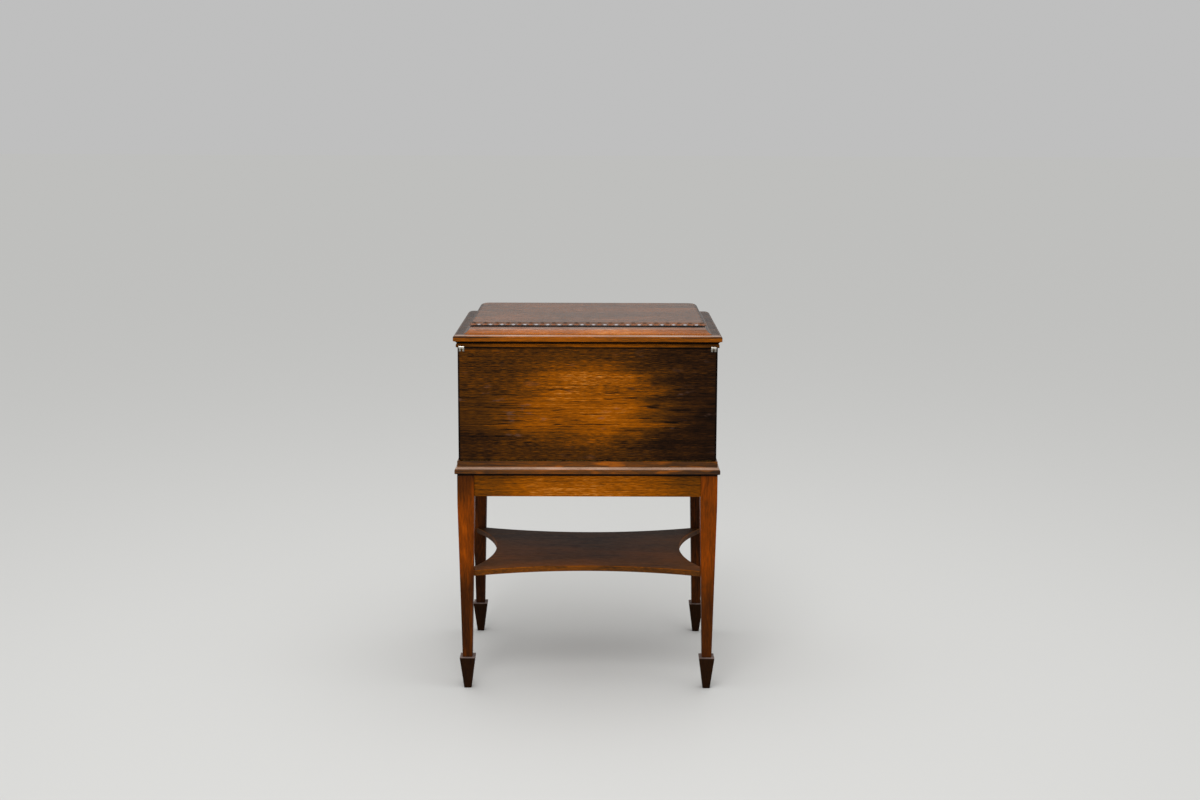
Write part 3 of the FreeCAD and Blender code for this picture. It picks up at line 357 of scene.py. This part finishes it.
# painted shade along the drawer fronts' edges, in the gaps
DRAWER_GAP_SHADE = tuple(({"Z": (edge, 1.5)}, 0.45) for edge in (525.5, 595.7, 606.5, 676.7))
drawer_side_oak = oak("waxed_oak_drawer_side", "Y", 0.62, (90, 230, 480), tones=WAXED_TONES, gloss=0.5)
drawer_front_oak = oak("waxed_oak_drawer_front", "X", 0.5, (35, 520, 130), tones=WAXED_TONES, gloss=0.45,
                       lines=DRAWER_GAP_SHADE)
TARNISH_FROM, TARNISH_FULL, TARNISH_ROUGHNESS = 0.4, 0.7, 0.2


def metal(name, bright, dull, patch_mm, roughness, dull_below=0.0):
    """Worn metal: a clean colour with dull, rougher patches of tarnish, and dull all over below a height in mm."""
    material = bpy.data.materials.new(name)
    material.use_nodes = True
    tree = material.node_tree
    shader = tree.nodes["Principled BSDF"]
    place = add(tree, "ShaderNodeTexCoord").outputs["Object"]
    noise = add(tree, "ShaderNodeTexNoise", {"Vector": place, "Scale": 1 / (patch_mm * MM), "Detail": 3.0})
    spots = add(tree, RANGE, (noise, TARNISH_FROM, TARNISH_FULL))
    height = add(tree, "ShaderNodeSeparateXYZ", (place,)).outputs["Z"]
    low = add(tree, RANGE, (height, dull_below * MM, (dull_below + 1) * MM, 1, 0))
    tarnish = add(tree, MATH, (spots, low), operation="MAXIMUM")
    colour = add(tree, "ShaderNodeMix", {"Factor": tarnish, "A": linear(bright), "B": linear(dull)},
                 data_type="RGBA").outputs["Result"]
    rough = add(tree, MATH, (tarnish, TARNISH_ROUGHNESS, roughness), operation="MULTIPLY_ADD")
    tree.links.new(colour, shader.inputs["Base Color"])
    tree.links.new(rough.outputs[0], shader.inputs["Roughness"])
    shader.inputs["Metallic"].default_value = 1.0
    return material


brass = metal("turned_brass", "#d8b25f", "#8d6a2c", 5, 0.22)
for drawer in ("lower", "upper"):
    for part, part_oak in (("front", drawer_front_oak), ("back", waxed_oak), ("bottom", waxed_oak),
                           ("left", drawer_side_oak), ("right", drawer_side_oak)):
        eased(f"drawer_{drawer}_{part}", part_oak, arris=THIN_ARRIS)
    eased(f"drawer_{drawer}_knobs", brass, arris=0.8 * MM, segments=4)

# Tray: four walls round a bottom, with partitions that part the cutlery, glued up and laid on the upper shelf.
# It is of the drawers' waxed oak.
for part, part_oak in (("front", waxed_oak), ("back", waxed_oak), ("bottom", waxed_oak), ("left", drawer_side_oak),
                       ("right", drawer_side_oak), ("partitions", drawer_side_oak)):
    eased(f"tray_{part}", part_oak, arris=THIN_ARRIS)

# Falling front: one wide oak board with a rounded arris at both ends, hung at its foot.
# The stain is rubbed back in the middle of the face to a warm glow and is nearly black at the corners, with open
# horizontal grain, and a belt of smoother wood has long dark dashes and grey smears in the wax.
FACE, BOARD = -202.5, 11
RUBBED = (((-2, FACE, 616), (222, BOARD, 74)), ((8, FACE, 664), (178, BOARD, 68)))
BRIGHTEST = (((-8, 0, 638), (190, 0, 46)),)
TO_THE_RIGHT = (((-150, 0, 0), (390, 0, 0)),)
TO_THE_FOOT = (((0, 0, 756), (0, 0, 190)),)
LEFT_END, RIGHT_END = ({"X": (-274.5, 2.2)}, 0.2), ({"X": (274.5, 2.2)}, 0.2)
# painted shade along the head of the front, under the lid's bead
HEAD_SHADE = ({"Z": (756.2, 1.2)}, 0.25)
DARK_CORNER = ({"X": (-270, 70), "Z": (513, 90)}, 0.08)
front_oak = oak("stained_oak_front", "X", 0.705, (0, 0, 0), fibre=0.15, speckle=0.22, dashes=0.46, band=(614, 42),
                glows=((0.31, RUBBED), (0.06, BRIGHTEST), (0.22, TO_THE_RIGHT), (0.045, TO_THE_FOOT)),
                lines=(LEFT_END, RIGHT_END, HEAD_SHADE, DARK_CORNER))
eased("fall_front", front_oak)

# Long hinge: two slim leaves and their pin, screwed into the foot of the front and into the base.
# The bronzed brass is dark brown and dull, so the hinge hardly shows against the oak.
bronze = metal("bronzed_brass", "#4a3517", "#1f150b", 6, 0.42)
for node in ("fall_hinge_leaf", "base_hinge_leaf", "fall_hinge_pin"):
    eased(node, bronze, arris=0.1 * MM)

# Catch plates: two small nickel plates on the front, forked at the foot and rolled over at the head, where they
# snap under the lid's bead; a slotted brass screw holds each. The nickel is bright on the roll and grey below it,
# and the old brass is brown.
nickel = metal("worn_nickel", "#e2dfd6", "#87837a", 4, 0.2, dull_below=754.5)
for node in ("catch_plate_left", "catch_plate_right"):
    eased(node, nickel, arris=0.2 * MM)
old_brass = metal("old_brass", "#5d4a2c", "#33281a", 2, 0.35)
eased("catch_screws", old_brass, arris=0.15 * MM)

# Lid frame: three oak rails mitred at the front, with a bead at the foot and a hollow above it, and a plain back
# rail, glued under the lid's boards. The stained bead is bright in the middle, and painted shade darkens the hollow
# and the joint at the bead's foot.
MOULDED_ARRIS = 0.5 * MM
# painted shade in the hollow and at the bead's foot
HOLLOW_SHADE = ({"Z": (768.4, 2.7)}, 0.45)
LID_JOINT_SHADE = ({"Z": (757.8, 0.9)}, 0.35)
BEAD_MIDDLE = (((0, 0, 764), (300, 0, 0)),)
rail_oak = oak("stained_oak_lid_rail", "X", 0.52, (650, 260, 40), glows=((0.2, BEAD_MIDDLE),),
               lines=(HOLLOW_SHADE, LID_JOINT_SHADE))
rail_side_oak = oak("stained_oak_lid_side_rail", "Y", 0.5, (450, 260, 140), lines=(HOLLOW_SHADE, LID_JOINT_SHADE))
for side, run_oak in (("front", rail_oak), ("back", rail_oak), ("left", rail_side_oak), ("right", rail_side_oak)):
    eased(f"lid_rail_{side}", run_oak, arris=MOULDED_ARRIS)


# Lid boards: a moulded oak board with a rounded upper edge and round back corners, and a coved board glued on it.
# The stained oak is warm in the middle and dark at the ends, a pale painted sheen lies along the rounded edge and in
# the upper part of the cove, and painted shade darkens the cove's faces that look sideways.
def rounded_back(piece, radius, steps=8):
    """Round a moulded board's two back corners in plan, so that its moulding runs round them."""
    shape = bmesh.new()
    shape.from_mesh(piece.data)
    back = max(point.co.y for point in shape.verts) - radius
    end = max(point.co.x for point in shape.verts) - radius
    margin = radius / 4
    for side in (-1, 1):
        for step in range(steps + 1):
            turn = math.radians(90) * step / steps
            faces = [face for face in shape.faces
                     if any(side * point.co.x > end - margin and point.co.y > back - margin for point in face.verts)]
            edges = {edge for face in faces for edge in face.edges}
            points = {point for face in faces for point in face.verts}
            bmesh.ops.bisect_plane(shape, geom=[*points, *edges, *faces], dist=0.001 * MM,
                                   plane_co=(side * end, back, 0),
                                   plane_no=(side * math.sin(turn), -math.cos(turn), 0))
        for point in shape.verts:
            out, behind = side * point.co.x - end, point.co.y - back
            if out > 0 and behind > 0:
                pull = max(out, behind) / math.hypot(out, behind)
                point.co.x, point.co.y = side * (end + out * pull), back + behind * pull
    shape.to_mesh(piece.data)
    shape.free()


LID_CORNER = 14 * MM
FASCIA_HEAD = {"Z": (779.6, 1.0)}
LEDGE = {"Z": (783.5, 2.4)}
LID_ENDS = (({"X": (-285, 90), **FASCIA_HEAD}, 0.45), ({"X": (285, 90), **FASCIA_HEAD}, 0.45),
            ({"X": (-285, 26), **LEDGE}, 0.34), ({"X": (285, 26), **LEDGE}, 0.34))
# painted sheen of light along the rounded edge
LID_EDGE_SHEEN = ({"Z": (782.9, 1.0), "Y": (-207, 9)}, "#b39a8c", 0.9)
lid_oak = oak("stained_oak_lid_board", "X", 0.58, (50, 310, 440), gloss=0.2, specular=0.06, lines=LID_ENDS,
              painted_sheen=(LID_EDGE_SHEEN,))
eased("lid_board", lid_oak, arris=MOULDED_ARRIS, shaped=lambda board: rounded_back(board, LID_CORNER))
COVE_MIDDLE = (((0, -60, 790), (320, 250, 0)),)
# painted sheen of light in the upper part of the cove
COVE_HEAD_SHEEN = ({"Z": (795.6, 2.6), "Y": (-178, 9)}, "#8f7d73", 0.9)
cove_oak = oak("stained_oak_cove", "X", 0.74, (850, 160, 240), glows=((0.2, COVE_MIDDLE),), side_shade=0.4, gloss=0.24,
               specular=0.36, painted_sheen=(COVE_HEAD_SHEEN,))
eased("coved_board", cove_oak, arris=0.4 * MM)

# Raised top: a flat oak board on a narrow quirk, its edge carved into lobes along the front and the sides.
# Its stain is dark and its wax shines, and painted shade darkens its faces that look sideways. Painted shade darkens
# the quirk, and along the front warm painted light lies in the valleys between the lobes and painted glints lie on
# their crowns.
TOP_CORNER = 24 * MM
# painted shade in the quirk under the lip
QUIRK_SHADE = ({"Z": (799.0, 1.6)}, 0.5)
LOBE_PITCH = 24.4 * MM
LOBE_BOUNDS = (("Z", "GREATER_THAN", 801.8 * MM), ("Z", "LESS_THAN", 804.2 * MM), ("Y", "LESS_THAN", -168 * MM))
# painted light in the valleys between the lobes and painted glints on their crowns
LIT_VALLEYS = (0.1, 0.8, 0.6, "#96562c")
CROWN_GLINTS = (-0.45, -1.0, 0.62, "#b2b4bb")
top_oak = oak("stained_oak_raised_top", "X", 0.42, (200, 20, 840), speckle=0.09, fibre=0.1, dashes=0.16, gloss=0.24,
              side_shade=0.2, lines=(QUIRK_SHADE,), specular=0.5)
top_tree = top_oak.node_tree
top_colour = top_tree.nodes["Principled BSDF"].inputs["Base Color"]
colour = top_colour.links[0].from_socket
place = add(top_tree, "ShaderNodeTexCoord").outputs["Object"]
axes = add(top_tree, "ShaderNodeSeparateXYZ", (place,)).outputs
turns = add(top_tree, MATH, (axes["X"], 2 * math.pi / LOBE_PITCH), operation="MULTIPLY")
swell = add(top_tree, MATH, (turns,), operation="COSINE")
for low, high, strength, lobe_light_colour in (LIT_VALLEYS, CROWN_GLINTS):
    lobe_light = add(top_tree, RANGE, (swell, low, high, 0, strength))
    for axis, side, bound in LOBE_BOUNDS:
        within = add(top_tree, MATH, (axes[axis], bound), operation=side)
        lobe_light = add(top_tree, MATH, (lobe_light, within), operation="MULTIPLY")
    colour = add(top_tree, "ShaderNodeMix", {"Factor": lobe_light, "A": colour, "B": linear(lobe_light_colour)},
                 data_type="RGBA").outputs["Result"]
top_tree.links.new(colour, top_colour)
eased("carved_top", top_oak, arris=0.3 * MM, shaped=lambda board: rounded_back(board, TOP_CORNER))

# Lining: a sheet of green baize glued inside the lid.
# The felted wool is matt, with a faint nap that is lighter and darker in small spots.
WOOL_SPOTS = 2.5 * MM
baize = bpy.data.materials.new("green_baize")
baize.use_nodes = True
nap = baize.node_tree
felt = nap.nodes["Principled BSDF"]
place = add(nap, "ShaderNodeTexCoord").outputs["Object"]
wool = add(nap, "ShaderNodeTexNoise", {"Vector": place, "Scale": 1 / WOOL_SPOTS, "Detail": 4.0})
wool_colour = add(nap, "ShaderNodeMix", {"Factor": wool, "A": linear("#1d3524"), "B": linear("#3f6047")},
                  data_type="RGBA").outputs["Result"]
nap.links.new(wool_colour, felt.inputs["Base Color"])
felt.inputs["Roughness"].default_value = 0.95
felt.inputs["Sheen Weight"].default_value = 0.3
eased("lid_lining", baize, arris=0.4 * MM)

# Lid hinges: two butt hinges behind the box, of the knobs' brass.
# Their leaves are let into the lid's back rail and the back of the box, and pins join them.
for node in ("lid_hinge_leaves", "case_hinge_leaves", "lid_hinge_pins"):
    eased(node, brass, arris=0.2 * MM)

# Floor and surround: a plain pale floor that keeps the cabinet's shadow, in a pale room.
# The matt paint is an even light grey, and what the camera and the metal see of the room is grey as well.
FLOOR_SIDE = 80
ROOM_LIGHT, ROOM_SEEN = 0.88, 0.52
bpy.ops.object.select_all(action="DESELECT")
bpy.ops.mesh.primitive_plane_add(size=FLOOR_SIDE)
floor = bpy.context.object
floor.name = "floor"
floor_paint = bpy.data.materials.new("pale_floor")
floor_paint.use_nodes = True
floor_shader = floor_paint.node_tree.nodes["Principled BSDF"]
floor_shader.inputs["Base Color"].default_value = linear("#cacac8")
floor_shader.inputs["Roughness"].default_value = 0.9
floor_shader.inputs["Specular IOR Level"].default_value = 0.0
floor.data.materials.append(floor_paint)
world = bpy.data.worlds.new("studio")
bpy.context.scene.world = world
world.use_nodes = True
room = world.node_tree
background = room.nodes["Background"]
rays = add(room, "ShaderNodeLightPath").outputs
seen = rays["Is Camera Ray"]
for ray in ("Is Glossy Ray", "Is Transmission Ray"):
    seen = add(room, MATH, (seen, rays[ray]), operation="MAXIMUM")
strength = add(room, RANGE, {"Value": seen, "To Min": ROOM_LIGHT, "To Max": ROOM_SEEN})
room.links.new(strength.outputs[0], background.inputs["Strength"])
background.inputs["Color"].default_value = linear("#ffffff")

# Lamps: a soft lamp over the front, a wide one behind the camera and one overhead, all turned to the middle of the
# cabinet. Each has its place and its side in metres and its power in watts.
CABINET_MIDDLE = Vector((0, 0, 0.5))
for name, place, side, watts in (("key", (-0.3, -1.7, 3.1), 1.1, 22),
                                 ("fill", (-0.6, -5.0, 1.6), 3.0, 24),
                                 ("overhead", (0.1, -0.2, 2.8), 1.8, 17)):
    lamp = bpy.data.lights.new(name, "AREA")
    lamp.size = side
    lamp.energy = watts
    lit = bpy.data.objects.new(name, lamp)
    bpy.context.scene.collection.objects.link(lit)
    lit.location = place
    lit.rotation_euler = (CABINET_MIDDLE - lit.location).to_track_quat("-Z", "Y").to_euler()

# Camera: in front of the cabinet at a little under eye height, looking slightly down.
LOOK_DOWN, LOOK_ASIDE, LEAN = 0.14083, -0.00101, 0.00306
lens = bpy.data.cameras.new("camera")
lens.sensor_width = 36
lens.lens = 45.96
lens.shift_y = -0.06
camera = bpy.data.objects.new("camera", lens)
bpy.context.scene.collection.objects.link(camera)
camera.location = (0.02282, -3.41328, 1.25464)
looking = Euler((math.pi / 2 - LOOK_DOWN, 0, LOOK_ASIDE)).to_matrix() @ Matrix.Rotation(LEAN, 3, "Z")
camera.rotation_euler = looking.to_euler()
bpy.context.scene.camera = camera
bpy.context.scene.view_settings.view_transform = "Standard"
